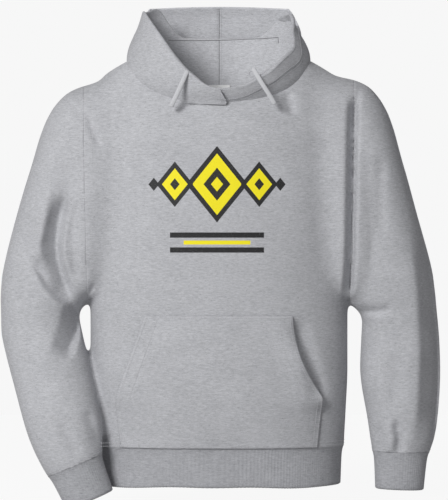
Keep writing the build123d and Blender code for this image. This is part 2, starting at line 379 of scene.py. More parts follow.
def body_shell():
    """Closed skin of body and sleeves, evened out and with its folds."""
    form = new_object("shell", raw_mesh("shell", [
        body_tube(), arm_tube(1, LEFT_ARM), arm_tube(-1, RIGHT_ARM),
        arm_tube(1, WEB), arm_tube(-1, WEB)]))
    remesh = form.modifiers.new("union", "REMESH")
    remesh.mode = "VOXEL"
    remesh.voxel_size = CELL * MM
    baked(form)
    mesh = form.data
    edges = links(mesh)
    put_corners(mesh, eased(corners(mesh), edges, SKIN_TURNS))
    p = corners(mesh) / MM
    x, z = np.abs(p[:, 0]), p[:, 2]
    joint = within(x, JOINT_X) * within(z, JOINT_Z) * rising(-normals(mesh)[:, 1], *JOINT_FACING)
    elbow = rising(x, *ELBOW_X) * within(z, ELBOW_Z)
    head = within(x, HEAD_X) * rising(z, *HEAD_Z)
    rough = np.maximum(elbow, head)
    co = eased(p * MM, edges[(joint > 0)[edges].any(axis=1)], JOINT_TURNS, share=joint)
    put_corners(mesh, eased(co, edges[(rough > 0)[edges].any(axis=1)], ROUGH_TURNS, share=rough))
    put_corners(mesh, eased(pressed(corners(mesh), normals(mesh)), edges, FOLD_TURNS))
    return form


# Reach of each cut into the skin, so that it meets only its own part of it.
HEM_CUT = (215.0, 25.0)        # to each side, and above the waistband
CUFF_CUT = (100.0, 60.0)       # from the middle, and above the cuff
ARMHOLE_CUT = 150.0            # from the middle
SIDE_CUT = 300.0               # to each side


def sleeve_end(side, arms):
    """Last row of a sleeve, its middle and the way down from it."""
    end = arms[CUFF_ROW]
    lean = math.radians(end.lean)
    down = np.array([side * math.sin(lean), 0, -math.cos(lean)])
    return end, np.array([side * end.x, end.y, end.z]), down


def cut_shell(form):
    """Cuts the openings and the seam lines into the skin."""
    bm = bmesh.new()
    bm.from_mesh(form.data)

    def cut(where, normal, chosen, clear=False):
        faces = [f for f in bm.faces if chosen(f.calc_center_median() / MM)]
        edges = list({e for f in faces for e in f.edges})
        verts = list({v for f in faces for v in f.verts})
        bmesh.ops.bisect_plane(bm, geom=faces + edges + verts, dist=1e-6, plane_co=Vector(where) * MM,
                               plane_no=Vector(normal), clear_outer=clear)

    cut((0, 0, BAND_TOP), (0, 0, -1), lambda c: abs(c.x) < HEM_CUT[0] and c.z < BAND_TOP + HEM_CUT[1]
        and not sleeve_at(c), True)
    for side, arms in ((1, LEFT_ARM), (-1, RIGHT_ARM)):
        end, middle, down = sleeve_end(side, arms)
        cut(middle, down,
            lambda c: c.z < end.z + CUFF_CUT[1] and c.x * side > CUFF_CUT[0] and sleeve_at(c), True)
        slope = Vector((ARMHOLE_TOP[1] - ARMPIT[1], 0, -(ARMHOLE_TOP[0] - ARMPIT[0])))
        slope.x *= side
        cut((side * ARMPIT[0], 0, ARMPIT[1]), slope.normalized(),
            lambda c: c.x * side > ARMHOLE_CUT and c.z > ARMPIT[1])
        cut((side * ARMPIT[0], 0, 0), (1, 0, 0),
            lambda c: c.x * side > ARMHOLE_CUT and ARMPIT_FOOT < c.z < ARMPIT[1])
    cut((0, 0, 0), (0, 1, 0), lambda c: abs(c.x) < SIDE_CUT)
    hole = [v for v in bm.verts if in_neck(v.co / MM)]
    bmesh.ops.delete(bm, geom=hole, context="VERTS")
    loose = [v for v in bm.verts if not v.link_faces]
    bmesh.ops.delete(bm, geom=loose, context="VERTS")
    bm.to_mesh(form.data)
    bm.free()


def sleeve_at(c):
    return bool(is_sleeve(np.array([tuple(c)]))[0])


def in_neck(p):
    w, f, b = NECK
    depth = f if p.y < 0 else b
    return p.z > NECK_FOOT and (abs(p.x) / w) ** NECK_ROUND + (abs(p.y) / depth) ** NECK_ROUND < 1


def panel(form, name, chosen):
    """Copy of the skin with only the faces whose middles are chosen."""
    mesh = form.data.copy()
    bm = bmesh.new()
    bm.from_mesh(mesh)
    mids = np.array([tuple(f.calc_center_median() / MM) for f in bm.faces])
    keep = chosen(mids)
    bmesh.ops.delete(bm, geom=[f for f, k in zip(bm.faces, keep) if not k], context="FACES")
    bm.to_mesh(mesh)
    bm.free()
    mesh.name = name
    return new_object(name, mesh)


def thickened(obj, thick, levels=1):
    solid = obj.modifiers.new("cloth", "SOLIDIFY")
    solid.thickness = thick * MM
    solid.offset = -1
    solid.use_even_offset = True
    if levels:
        smooth = obj.modifiers.new("smooth", "SUBSURF")
        smooth.levels = smooth.render_levels = levels
    baked(obj)
    shade(obj)
    return obj


def shade(obj):
    obj.data.polygons.foreach_set("use_smooth", [True] * len(obj.data.polygons))
    obj.data.update()


def weave_attribute(obj, values):
    """Place of each corner in the cloth, in metres: across, into and along the knit."""
    attribute = obj.data.attributes.new("weave", "FLOAT_VECTOR", "POINT")
    attribute.data.foreach_set("vector", np.ascontiguousarray(values, dtype=np.float32).ravel())


def marked(obj, name, values):
    """Gives each corner of an object a number, which a material or a node group reads by its name."""
    attribute = obj.data.attributes.new(name, "FLOAT", "POINT")
    attribute.data.foreach_set("value", np.asarray(values, dtype=np.float32))


class Link:
    """A socket of a node tree. Sums, products and so on of it add the Math nodes that they need."""

    def __init__(self, graph, socket):
        self.graph, self.socket = graph, socket

    def math(self, operation, *terms, clamp=False):
        return self.graph.node(
            "ShaderNodeMath", {"operation": operation, "use_clamp": clamp}, dict(enumerate(terms)))

    def __add__(self, other):
        return self.math("ADD", self, other)

    def __sub__(self, other):
        return self.math("SUBTRACT", self, other)

    def __rsub__(self, other):
        return self.math("SUBTRACT", other, self)

    def __mul__(self, other):
        return self.math("MULTIPLY", self, other)

    def __truediv__(self, other):
        return self.math("DIVIDE", self, other)

    def __abs__(self):
        return self.math("ABSOLUTE", self)

    __radd__, __rmul__ = __add__, __mul__

    def clamped(self):
        return self.math("ADD", self, 0.0, clamp=True)

    def sine(self):
        return self.math("SINE", self)


class Graph:
    """A node tree that is filled node by node."""

    def __init__(self, tree):
        self.tree = tree

    def node(self, kind, settings=None, sockets=None, out=0):
        node = self.tree.nodes.new(kind)
        for name, value in (settings or {}).items():
            setattr(node, name, value)
        for name, value in (sockets or {}).items():
            if isinstance(value, Link):
                self.tree.links.new(value.socket, node.inputs[name])
            else:
                node.inputs[name].default_value = value
        return Link(self, node.outputs[out])

    def mix(self, share, first, second):
        """Colour between two others."""
        return self.node("ShaderNodeMix", {"data_type": "RGBA"},
                         {"Factor": share, "A": first, "B": second}, out="Result")

    def bump(self, height, strength, depth):
        return self.node("ShaderNodeBump", None,
                         {"Strength": strength, "Distance": depth, "Height": height})

    def join(self, link, node, socket):
        self.tree.links.new(link.socket, node.inputs[socket])


def finish_of(name, roughness, sheen=0.0):
    """New material with its graph and its shader."""
    material = bpy.data.materials.new(name)
    material.use_nodes = True
    skin = material.node_tree.nodes["Principled BSDF"]
    skin.inputs["Roughness"].default_value = roughness
    skin.inputs["Sheen Weight"].default_value = sheen
    skin.inputs["Sheen Roughness"].default_value = 0.6
    skin.inputs["Specular IOR Level"].default_value = 0.2
    return material, Graph(material.node_tree), skin


# Fibres of the heather: changes in a metre across, into and along the cloth, a seed, detail,
# and their weight in the tone.
Fibre = namedtuple("Fibre", "stretch seed detail weight")
STREAK = Fibre((120, 120, 620), 3.0, 3.0, 1.4)
STRAND = Fibre((420, 420, 2300), 11.0, 2.0, 1.1)
BLOTCH = Fibre((14, 14, 22), 23.0, 2.0, 0.35)
FLECK = Fibre((300, 300, 1500), 37.0, 1.0, 0.55)
FLECK_FROM, FLECK_SHARP = 0.63, 9.0
FLECK_COLOUR = (0.10, 0.10, 0.11, 1)
KNIT_PITCH = 0.0016    # spacing of the knit's columns, in metres
KNIT_ROUGHNESS = 0.92
RELIEF = (0.7, 0.12, 0.3)      # share of strands, columns and streaks in the knit's relief
# Painted light: how much paler the knit is painted on the hood's inside, standing in for fill light there.
PAINTED_FILL_TONE = (1.35, 1.35, 1.35)


def heather(name, light, dark, printed=False, fill_painted=False):
    """Matt knit spun of light and dark fibres, lying across the piece."""
    material, g, skin = finish_of(name, KNIT_ROUGHNESS, 0.12)
    weave = g.node("ShaderNodeAttribute", {"attribute_name": "weave"}, out="Vector")

    def noise(fibre):
        place = g.node("ShaderNodeVectorMath", {"operation": "MULTIPLY_ADD"},
                       {0: weave, 1: fibre.stretch, 2: (fibre.seed,) * 3})
        return g.node("ShaderNodeTexNoise", None,
                      {"Vector": place, "Scale": 1.0, "Detail": fibre.detail, "Roughness": 0.62})

    streak, strand, blotch, fleck = [noise(fibre) for fibre in (STREAK, STRAND, BLOTCH, FLECK)]
    share = (0.5 + (streak - 0.5) * STREAK.weight + (strand - 0.5) * STRAND.weight
             + (blotch - 0.5) * BLOTCH.weight).clamped()
    colour = g.mix(share, (*dark, 1), (*light, 1))
    dim = ((fleck - FLECK_FROM) * FLECK_SHARP).clamped() * FLECK.weight
    colour = g.mix(dim, colour, FLECK_COLOUR)
    across = g.node("ShaderNodeSeparateXYZ", None, {0: weave}, out="X")
    column = (across * (2 * math.pi / KNIT_PITCH)).sine()
    height = strand * RELIEF[0] + column * RELIEF[1] + streak * RELIEF[2]
    # Painted light: corners marked painted_fill get a paler copy of the knit's colour, standing in for fill
    # light that the hood's recessed inside misses.
    if fill_painted:
        painted_fill = g.node("ShaderNodeAttribute", {"attribute_name": "painted_fill"}, out="Fac")
        painted_fill_colour = g.node("ShaderNodeVectorMath", {"operation": "MULTIPLY"}, {0: colour, 1: PAINTED_FILL_TONE})
        colour = g.mix(painted_fill, colour, painted_fill_colour)
    if printed:
        colour, height = chest_print(g, skin, colour, height, strand)
    g.join(colour, skin, "Base Color")
    g.join(g.bump(height, 0.55, 0.0006), skin, "Normal")
    return material


# Chest print: lozenges in two inks over three stripes, in millimetres from its middle.
PRINT_AT = (-3.0, -204.0)
Lozenge = namedtuple("Lozenge", "x half_width half_height ink")
LOZENGES = [
    Lozenge(0, 50, 62, "black"), Lozenge(0, 40, 50, "yellow"), Lozenge(0, 22, 27, "black"),
    Lozenge(0, 10, 12, "yellow"),
    Lozenge(68, 30, 37, "black"), Lozenge(68, 21, 26, "yellow"), Lozenge(68, 8, 10, "black"),
    Lozenge(-68, 30, 37, "black"), Lozenge(-68, 21, 26, "yellow"), Lozenge(-68, 8, 10, "black"),
    Lozenge(102, 9, 11, "black"), Lozenge(-102, 9, 11, "black"),
]
Stripe = namedtuple("Stripe", "z half_length half_width ink")
STRIPES = [
    Stripe(-82, 76, 4.5, "black"), Stripe(-94, 54, 3.5, "yellow"), Stripe(-106, 76, 4.5, "black"),
]
INKS = {"black": (0.012, 0.012, 0.013, 1), "yellow": (0.90, 0.78, 0.012, 1)}
INK_EDGE = 0.5         # width of an ink's soft edge
WORN_FROM, WORN_SHARP, WORN_SHARE = 0.62, 6.0, 0.5   # strands that show through the ink
INK_GLOSS = 0.35       # how much smoother than the knit the ink is
INK_FILL = 0.6         # share of the knit's relief that it fills


def chest_print(g, skin, colour, height, strand):
    """Inks over the knit, on the outer side of the cloth only."""
    place = g.node("ShaderNodeTexCoord", out="Object")
    axes = [g.node("ShaderNodeSeparateXYZ", None, {0: place}, out=axis) for axis in ("X", "Z")]
    x, z = [axis / MM - middle for axis, middle in zip(axes, PRINT_AT)]
    outer = g.node("ShaderNodeAttribute", {"attribute_name": "outside"}, out="Fac")
    worn = outer * (1.0 - ((strand - WORN_FROM) * WORN_SHARP).clamped() * WORN_SHARE)
    inked = None
    for mark in LOZENGES + STRIPES:
        if isinstance(mark, Lozenge):
            far = abs(x - mark.x) / mark.half_width + abs(z) / mark.half_height
            cover = ((1.0 - far) * (mark.half_width / INK_EDGE)).clamped()
        else:
            ends = ((mark.half_length - abs(x)) / INK_EDGE).clamped()
            cover = ((mark.half_width - abs(z - mark.z)) / INK_EDGE).clamped() * ends
        cover = cover * worn
        colour = g.mix(cover, colour, INKS[mark.ink])
        inked = cover if inked is None else inked.math("MAXIMUM", inked, cover)
    g.join(KNIT_ROUGHNESS - inked * INK_GLOSS, skin, "Roughness")
    return colour, height * (1.0 - inked * INK_FILL)


THREAD_TONES = (0.72, 1.25)    # shares of its colour between which a thread varies
THREAD_PALEST = 0.95
LABEL_RIB = 0.0009             # spacing of the label's ribs, in metres
LABEL_DARKER = 0.9


def thread(name, colour):
    """Spun sewing thread or braid, mottled by its fibres; its dark copy is the painted seam shade."""
    material, g, skin = finish_of(name, 0.7, 0.2)
    place = g.node("ShaderNodeTexCoord", out="Object")
    fine = g.node("ShaderNodeTexNoise", None, {"Vector": place, "Scale": 1400.0, "Detail": 2.0})
    dark, light = [[min(tone * c, THREAD_PALEST) for c in colour] for tone in THREAD_TONES]
    g.join(g.mix(fine, (*dark, 1), (*light, 1)), skin, "Base Color")
    g.join(g.bump(fine, 0.4, 0.0003), skin, "Normal")
    return material


def satin(name, colour):
    """Woven label cloth with fine cross ribs."""
    material, g, skin = finish_of(name, 0.5, 0.1)
    place = g.node("ShaderNodeTexCoord", out="Object")
    z = g.node("ShaderNodeSeparateXYZ", None, {0: place}, out="Z")
    ribs = (z * (2 * math.pi / LABEL_RIB)).sine()
    dark = [LABEL_DARKER * c for c in colour]
    g.join(g.mix(ribs * 0.5 + 0.5, (*dark, 1), (*colour, 1)), skin, "Base Color")
    g.join(g.bump(ribs, 0.3, 0.0002), skin, "Normal")
    return material


GREY = [(0.60, 0.605, 0.63), (0.33, 0.333, 0.35)]
RIB_GREY = [(0.52, 0.525, 0.55), (0.27, 0.273, 0.29)]
fleece = heather("heather_fleece", *GREY)
printed_fleece = heather("printed_fleece", *GREY, printed=True)
# Painted light: the same fleece painted paler where the painted_fill mark says, for the hood's inside.
fleece_with_painted_fill = heather("fleece_with_painted_fill", *GREY, fill_painted=True)
rib_knit = heather("heather_rib", *RIB_GREY)
sewing_thread = thread("sewing_thread", (0.55, 0.555, 0.575))
# Painted shade: a dark colour for tubes laid where the seams' grooves and the hood's back line are in shade;
# not a real thread.
painted_seam_shade = thread("painted_seam_shade", (0.20, 0.20, 0.21))
braid = thread("drawcord_braid", (0.56, 0.565, 0.585))
label_cloth = satin("label_cloth", (0.86, 0.86, 0.86))


def dressed(piece, material):
    piece.data.materials.clear()
    piece.data.materials.append(material)
    return piece


def group(name, sizes):
    """Geometry node group with a geometry and named sizes going in, its graph and what goes in."""
    tree = bpy.data.node_groups.new(name, "GeometryNodeTree")
    tree.interface.new_socket("Geometry", in_out="INPUT", socket_type="NodeSocketGeometry")
    for size in sizes:
        tree.interface.new_socket(size, in_out="INPUT", socket_type="NodeSocketFloat")
    tree.interface.new_socket("Material", in_out="INPUT", socket_type="NodeSocketMaterial")
    tree.interface.new_socket("Geometry", in_out="OUTPUT", socket_type="NodeSocketGeometry")
    g = Graph(tree)
    entry = tree.nodes.new("NodeGroupInput")
    return tree, g, {socket.name: Link(g, socket) for socket in entry.outputs if socket.name}


def close_group(g, shape, material):
    """Ends a group: instances made real, one material on all."""
    shape = g.node("GeometryNodeRealizeInstances", None, {"Geometry": shape})
    shape = g.node("GeometryNodeSetMaterial", None, {"Geometry": shape, "Material": material})
    g.join(shape, g.tree.nodes.new("NodeGroupOutput"), 0)


SEAM_SHADE_STEP = 0.003      # spacing of the points along a tube of painted seam shade, in metres


def stitch_group():
    """Stitches laid end to end along the edges of a mesh."""
    tree, g, given = group("stitches", ["Pitch", "Length", "Thickness"])
    line = g.node("GeometryNodeMeshToCurve", None, {"Mesh": given["Geometry"]})
    line = g.node("GeometryNodeResampleCurve", {"mode": "LENGTH"},
                  {"Curve": line, "Length": given["Pitch"]})
    bead = g.node("GeometryNodeMeshUVSphere", None, {"Segments": 6, "Rings": 4, "Radius": 0.5})
    along = g.node("GeometryNodeInputTangent")
    turn = g.node("FunctionNodeAlignRotationToVector", {"axis": "Z"}, {"Vector": along})
    size = g.node("ShaderNodeCombineXYZ", None,
                  {"X": given["Thickness"], "Y": given["Thickness"], "Z": given["Length"]})
    beads = g.node("GeometryNodeInstanceOnPoints", None,
                   {"Points": line, "Instance": bead, "Rotation": turn, "Scale": size})
    close_group(g, beads, given["Material"])
    return tree


def seam_shade_group():
    """Painted seam shade: a fine tube along the edges of a mesh, dark where a sunk seam's groove is in
    shade.
    """
    tree, g, given = group("seam_shades", ["Thickness"])
    line = g.node("GeometryNodeMeshToCurve", None, {"Mesh": given["Geometry"]})
    line = g.node("GeometryNodeResampleCurve", {"mode": "LENGTH"}, {"Curve": line, "Length": SEAM_SHADE_STEP})
    ring = g.node("GeometryNodeCurvePrimitiveCircle", None,
                  {"Resolution": 6, "Radius": given["Thickness"]})
    tubes = g.node("GeometryNodeCurveToMesh", None,
                   {"Curve": line, "Profile Curve": ring, "Fill Caps": True})
    close_group(g, tubes, given["Material"])
    return tree


def rib_group():
    """Ribs raised on a band whose corners know how many ribs round it they lie."""
    tree, g, given = group("ribs", ["Depth"])
    turns = g.node("GeometryNodeInputNamedAttribute", {"data_type": "FLOAT"}, {"Name": "rib"})
    rise = (turns * (2 * math.pi)).sine() * given["Depth"]
    out = g.node("GeometryNodeInputNormal")
    move = g.node("ShaderNodeVectorMath", {"operation": "SCALE"}, {0: out, "Scale": rise})
    shape = g.node("GeometryNodeSetPosition", None, {"Geometry": given["Geometry"], "Offset": move})
    close_group(g, shape, given["Material"])
    return tree


def grown(obj, tree, material, **sizes):
    """Runs a node group on an object and keeps the result as its plain mesh."""
    modifier = obj.modifiers.new(tree.name, "NODES")
    modifier.node_group = tree
    for socket in tree.interface.items_tree:
        if socket.in_out == "INPUT" and socket.name in sizes:
            modifier[socket.identifier] = sizes[socket.name]
        elif socket.in_out == "INPUT" and socket.name == "Material":
            modifier[socket.identifier] = material
    baked(obj)
    shade(obj)
    return obj


STITCHES, SEAM_SHADES, RIBS = stitch_group(), seam_shade_group(), rib_group()


def rows_object(name, rows):
    """Mesh of bare edges along rows of points in millimetres."""
    verts, edges = [], []
    for row in rows:
        start = len(verts)
        verts += [tuple(c * MM for c in p) for p in row]
        edges += [(start + i, start + i + 1) for i in range(len(row) - 1)]
    mesh = bpy.data.meshes.new(name)
    mesh.from_pydata(verts, edges, [])
    return new_object(name, mesh)


def stitched(name, rows, pitch=3.4, length=2.9, thick=0.9):
    piece = grown(rows_object(name, rows), STITCHES, sewing_thread,
                  Pitch=pitch * MM, Length=length * MM, Thickness=thick * MM)
    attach(piece, "root")
    return piece


# Painted shade: a dark tube along the rows, standing in for the shade in a seam's groove.
def seam_shade_tubes(name, rows, thick=0.55):
    piece = grown(rows_object(name, rows), SEAM_SHADES, painted_seam_shade, Thickness=thick * MM)
    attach(piece, "root")
    return piece


form = body_shell()
cut_shell(form)
front_body = panel(form, "front_body_cloth", lambda c: ~is_sleeve(c) & (c[:, 1] < 0))
back_body = panel(form, "back_body_cloth", lambda c: ~is_sleeve(c) & (c[:, 1] >= 0))
left_sleeve = panel(form, "left_sleeve_cloth", lambda c: is_sleeve(c) & (c[:, 0] > 0))
right_sleeve = panel(form, "right_sleeve_cloth", lambda c: is_sleeve(c) & (c[:, 0] < 0))
body_faces = BVHTree.FromObject(form, bpy.context.evaluated_depsgraph_get())
for piece in (front_body, back_body, left_sleeve, right_sleeve):
    outer_count = len(piece.data.vertices)
    thickened(piece, FLEECE, levels=0)
    co = corners(piece.data)
    marked(piece, "outside", np.arange(len(co)) < outer_count)
    weave_attribute(piece, co)
    dressed(piece, printed_fleece if piece is front_body else fleece)
bpy.data.objects.remove(form)


def grid(rows):
    """Quads over rows of points in millimetres."""
    rows = [np.asarray(r) for r in rows]
    across = len(rows[0])
    faces = [(i * across + j, i * across + j + 1, (i + 1) * across + j + 1, (i + 1) * across + j)
             for i in range(len(rows) - 1) for j in range(across - 1)]
    return [tuple(p) for r in rows for p in r], faces


def outward(obj, middle):
    """Turns the faces of an open sheet so that they look away from a point in millimetres."""
    mesh = obj.data
    away = corners(mesh) - np.array(middle) * MM
    if (normals(mesh) * away).sum() < 0:
        mesh.flip_normals()
    return obj


# Hood: brims from a front point to a back point in the middle plane, outside and inside.
Brim = namedtuple("Brim", "front_y front_z back_y back_z half_width")
HOOD_OUTSIDE = [
    Brim(-90, -84, 76, -40, 118),
    Brim(-99, -70, 82, -12, 138),
    Brim(-112, -42, 92, 54, 152),
    Brim(-119, 24, 94, 92, 133),
    Brim(-100, 76, 98, 122, 122),
]
HOOD_INSIDE = [
    Brim(-84, -92, 72, -50, 89),
    Brim(-90, -70, 76, -18, 95),
    Brim(-105, -46, 84, 44, 118),
    Brim(-114, 24, 89, 92, 126),
    Brim(-95, 76, 93, 122, 117),
]
# Height of the hood's front edge over its distance from the middle, on the wearer's left,
# where it is turned down further, and on the right.
THROAT = {
    1: [(0, -50), (19, -54), (53, -33), (71, -26), (100, -2), (130, 18), (150, 30)],
    -1: [(0, -50), (26, -37), (46, -24), (70, -2), (86, 25), (106, 53), (126, 85), (140, 100)],
}
# Where the edge leaves that line for the back's height, and the run over which it does.
TURN = {1: (-64, 56), -1: (20, 40)}
NAPE = 45.0            # height of the fold at the back of the neck
SIDE_RISE = {1: 36, -1: 60}    # how much higher the hood's sides stand than that
SIDE_PLACE = (84.0, 34.0)      # distance from the middle where that rise starts, and its run
BRIM_STEPS = 20        # steps from brim to brim
HOOD_START = 16        # step up the brims at which the hood is sewn to the neck
LINING_START = 2       # step at which its lining starts
LEAST_STEPS = 4        # steps that the hood goes up at least
HOOD_COLUMNS, OUTER_ROWS, LINING_ROWS = 240, 30, 22
LINING_INSET = 5.0     # how much further in the lining meets the hood's edge
NECK_PAINTED_FILL = 0.4      # share of the painted fill's paler tone on the inner wall round the neck, painted light standing in for fill light inside the hood
EDGE_EASE = 7          # columns to each side over which the hood's edge is evened out
LAP = 7.0              # how far each front edge passes the middle
LAP_RADIUS = 110.0     # distance of the lap from the neck's middle
LAP_RUN = 0.6          # angle round the neck over which the lap's layers part
LAP_OVER, LAP_UNDER = 5.0, 4.0   # how far out the upper layer lies, and how far in the lower
LAP_SLANT = 14.0       # how far the upper one's edge leans back towards its top
LAP_FOOT = (-70.0, 22.0)       # height where that lean starts, and its run
HEM = 24.0             # hem along the hood's front edge, which shows on the wearer's left
HEM_THICK = 1.8
HEM_STEP = (3.0, 5.0)  # how far past the hem its raised cloth ends, and the run to its whole height
HEM_BACK = 40.0        # depth at which the hem passes out of sight
HEM_STITCHES = (HEM - 2.5, 4.0, HEM + 3.5)   # distances of its stitches from the edge
HEM_LIFT = 0.5         # height of these stitches over the cloth
ROLL = 4.5             # how far that edge leans out, and its seam in
ROLL_RUN = (0.25, 60.0)        # run of the roll round the side, and of its fading towards the back
SIDE_TUCK = 15.0       # how far it leans in at the side
TUCK_RUN = (0.5, 0.35)         # where round the side that starts, and its run

# The hood's pushed-back part, as ovals from its top to its foot.
Crown = namedtuple("Crown", "z y half_width half_depth")
CROWN = [
    Crown(96, 97, 117, 18),
    Crown(80, 99, 128, 24),
    Crown(48, 104, 139, 30),
    Crown(-5, 117, 130, 36),
    Crown(-80, 130, 104, 34),
    Crown(-135, 137, 72, 28),
    Crown(-155, 139, 40, 16),
]
CROWN_STEPS, CROWN_AROUND, CROWN_ROUND = 7, 120, 2.1
CROWN_MOUTH = 0.0      # it is open to the front above this height in the middle,
SIDE_MOUTH = 68.0      # and higher by this much at the sides
MOUTH_RUN = (70.0, 40.0)       # distance from the middle where that rise starts, and its run
MOUTH_DEPTH = 2.0      # how far before the ovals' middles the opening starts
CROWN_ARCH = 5.0       # how much higher its upper edge is in the middle
ARCH_RUN = (60.0, 36.0)        # height where the arch starts, and its run
ARCH_HALF = 122.0      # its half width
CROWN_THICK = 3.0
CROWN_MIDDLE = (0, 110, 0)
PAINTED_FILL_FACING = (0.1, 0.3)      # how far it faces back where the painted fill's paler tone starts, and its run: painted light on the hood's inside
BRIM_ROUND = 0.9


def brim_point(brim, angle, grow=0.0):
    front_y, front_z, back_y, back_z, half_width = brim
    run, climb = back_y - front_y, back_z - front_z
    half = math.hypot(run, climb) / 2
    c, s = math.cos(angle), math.sin(angle)
    x = (half_width + grow) * math.copysign(abs(c) ** BRIM_ROUND, c)
    v = (half + grow) * math.copysign(abs(s) ** BRIM_ROUND, s)
    return np.array([x, (front_y + back_y) / 2 + v * run / (2 * half),
                     (front_z + back_z) / 2 + v * climb / (2 * half)])


def hood_line(brims, angle, grow, inset):
    """Points up the hood at an angle round the neck, and how far along them its edge comes."""
    line = np.array([brim_point(row, angle, grow) for row in between(brims, BRIM_STEPS)])
    x, y, z = np.abs(line[:, 0]) + inset, line[:, 1], line[:, 2]
    side = 1 if math.cos(angle) > 0 else -1
    edge = np.interp(x, [q[0] for q in THROAT[side]], [q[1] for q in THROAT[side]])
    back = NAPE + eased_share(rising(x + 2 * inset, *SIDE_PLACE)) * SIDE_RISE[side]
    share = eased_share(rising(y, *TURN[side]))
    limit = edge * (1 - share) + back * share
    over = np.nonzero(z > limit)[0]
    if len(over) and over[0] > 0:
        k = over[0]
        below, above = limit[k - 1] - z[k - 1], limit[k] - z[k]
        return line, k - 1 + below / (below - above)
    return line, len(line) - 1


def hood_wall(brims, angles, grow, start, rows, inset=0.0):
    """Rows of points up one wall of the hood at each angle, its edge eased along."""
    found = [hood_line(brims, angle, more, inset) for angle, more in zip(angles, grow)]
    tops = np.pad([top for line, top in found], EDGE_EASE, mode="edge")
    tops = np.convolve(tops, np.full(2 * EDGE_EASE + 1, 1 / (2 * EDGE_EASE + 1)), mode="valid")
    wall = []
    for (line, _), top in zip(found, tops):
        at, steps = np.linspace(start, max(top, start + LEAST_STEPS), rows), np.arange(len(line))
        wall.append(np.column_stack([np.interp(at, steps, line[:, axis]) for axis in range(3)]))
    return wall


def hood_collar():
    """The hood round the neck, up its outside, over its edge and down inside, and its hem's rows."""
    lap = math.asin(LAP / LAP_RADIUS)
    angles = np.linspace(-math.pi / 2 - lap, 3 * math.pi / 2 + lap, HOOD_COLUMNS)
    near_start = falling(angles - angles[0], LAP_RUN, LAP_RUN)
    near_end = falling(angles[-1] - angles, LAP_RUN, LAP_RUN)
    grow = LAP_OVER * near_end ** 2 - LAP_UNDER * near_start ** 2
    outside = hood_wall(HOOD_OUTSIDE, angles, grow, HOOD_START, OUTER_ROWS)
    inside = hood_wall(HOOD_INSIDE, angles, grow, LINING_START, LINING_ROWS, LINING_INSET)
    climb = np.linspace(0, 1, OUTER_ROWS)
    columns, hem_rows = [], [[] for _ in HEM_STITCHES]
    for angle, slant, outer, inner in zip(angles, LAP_SLANT * near_end ** 3, outside, inside):
        for line in (outer, inner):
            line[:, 0] -= slant * rising(line[:, 2], *LAP_FOOT)
        steps = np.linalg.norm(np.diff(outer, axis=0), axis=1)
        to_edge = np.append(np.cumsum(steps[::-1])[::-1], 0)
        out = outer * (1, 1, 0)
        out /= np.linalg.norm(out, axis=1)[:, None]
        to_left = math.cos(angle)
        rolled = rising(to_left, 0, ROLL_RUN[0]) * rising(-outer[:, 1], 0, ROLL_RUN[1])
        outer = outer + out * (rolled * np.linspace(-ROLL, ROLL, OUTER_ROWS))[:, None]
        outer[:, 0] -= SIDE_TUCK * rising(to_left, *TUCK_RUN) * climb ** 3
        if outer[-1, 1] < HEM_BACK and to_left > 0:
            raised = falling(to_edge, HEM + HEM_STEP[0], HEM_STEP[1])
            outer = outer + out * (raised * HEM_THICK)[:, None]
            for row, gap in zip(hem_rows, HEM_STITCHES):
                place = [np.interp(-gap, -to_edge, outer[:, axis]) for axis in range(3)]
                row.append(np.array(place) + HEM_LIFT * out[-1])
        else:
            for row in hem_rows:
                row.append(None)
        columns.append(np.vstack([outer, inner[::-1]]))
    obj = new_object("hood_collar", raw_mesh("hood_collar", [grid(columns)]))
    obj.data.flip_normals()
    # Painted light: the inner wall's corners get part of the painted fill's paler tone.
    marked(obj, "painted_fill", ([0.0] * OUTER_ROWS + [NECK_PAINTED_FILL] * LINING_ROWS) * len(columns))
    smooth = obj.modifiers.new("smooth", "SUBSURF")
    smooth.levels = smooth.render_levels = 1
    baked(obj)
    shade(obj)
    runs = []
    for row in hem_rows:
        run = []
        for point in row + [None]:
            if point is not None:
                run.append(point)
            elif run:
                runs.append(run)
                run = []
    return obj, runs


def hood_crown():
    """The pushed-back part of the hood, hanging open behind the neck."""
    rows = []
    for z, y, half_width, half_depth in between(CROWN, CROWN_STEPS):
        u, v = oval(half_width, half_depth, half_depth, CROWN_AROUND, CROWN_ROUND)
        arch = CROWN_ARCH * rising(z, *ARCH_RUN) * (1 - (u / ARCH_HALF) ** 2)
        rows.append(np.column_stack([u, y + v, z + arch]))
    verts, faces = tube(rows[::-1], closed=False)
    verts = np.array(verts)
    upwards = CROWN[::-1]
    middle_y = np.interp(verts[:, 2], [row.z for row in upwards], [row.y for row in upwards])
    mouth = CROWN_MOUTH + SIDE_MOUTH * rising(np.abs(verts[:, 0]), *MOUTH_RUN)
    gone = (verts[:, 1] < middle_y - MOUTH_DEPTH) & (verts[:, 2] > mouth)
    faces = [face for face in faces if not all(gone[i] for i in face)]
    obj = new_object("hood_crown", raw_mesh("hood_crown", [(verts, faces)]))
    bm = bmesh.new()
    bm.from_mesh(obj.data)
    bmesh.ops.delete(bm, geom=[v for v in bm.verts if not v.link_faces], context="VERTS")
    low = min(v.co.z for v in bm.verts) + MM
    ring = [e for e in bm.edges if e.is_boundary and all(v.co.z < low for v in e.verts)]
    bmesh.ops.holes_fill(bm, edges=ring)
    bmesh.ops.recalc_face_normals(bm, faces=bm.faces)
    bm.to_mesh(obj.data)
    bm.free()
    outward(obj, CROWN_MIDDLE)
    thickened(obj, CROWN_THICK)
    # Painted light: cloth that faces the front is painted paler, standing in for fill light inside the
    # pushed-back part.
    marked(obj, "painted_fill", falling(normals(obj.data)[:, 1], *PAINTED_FILL_FACING))
    return obj


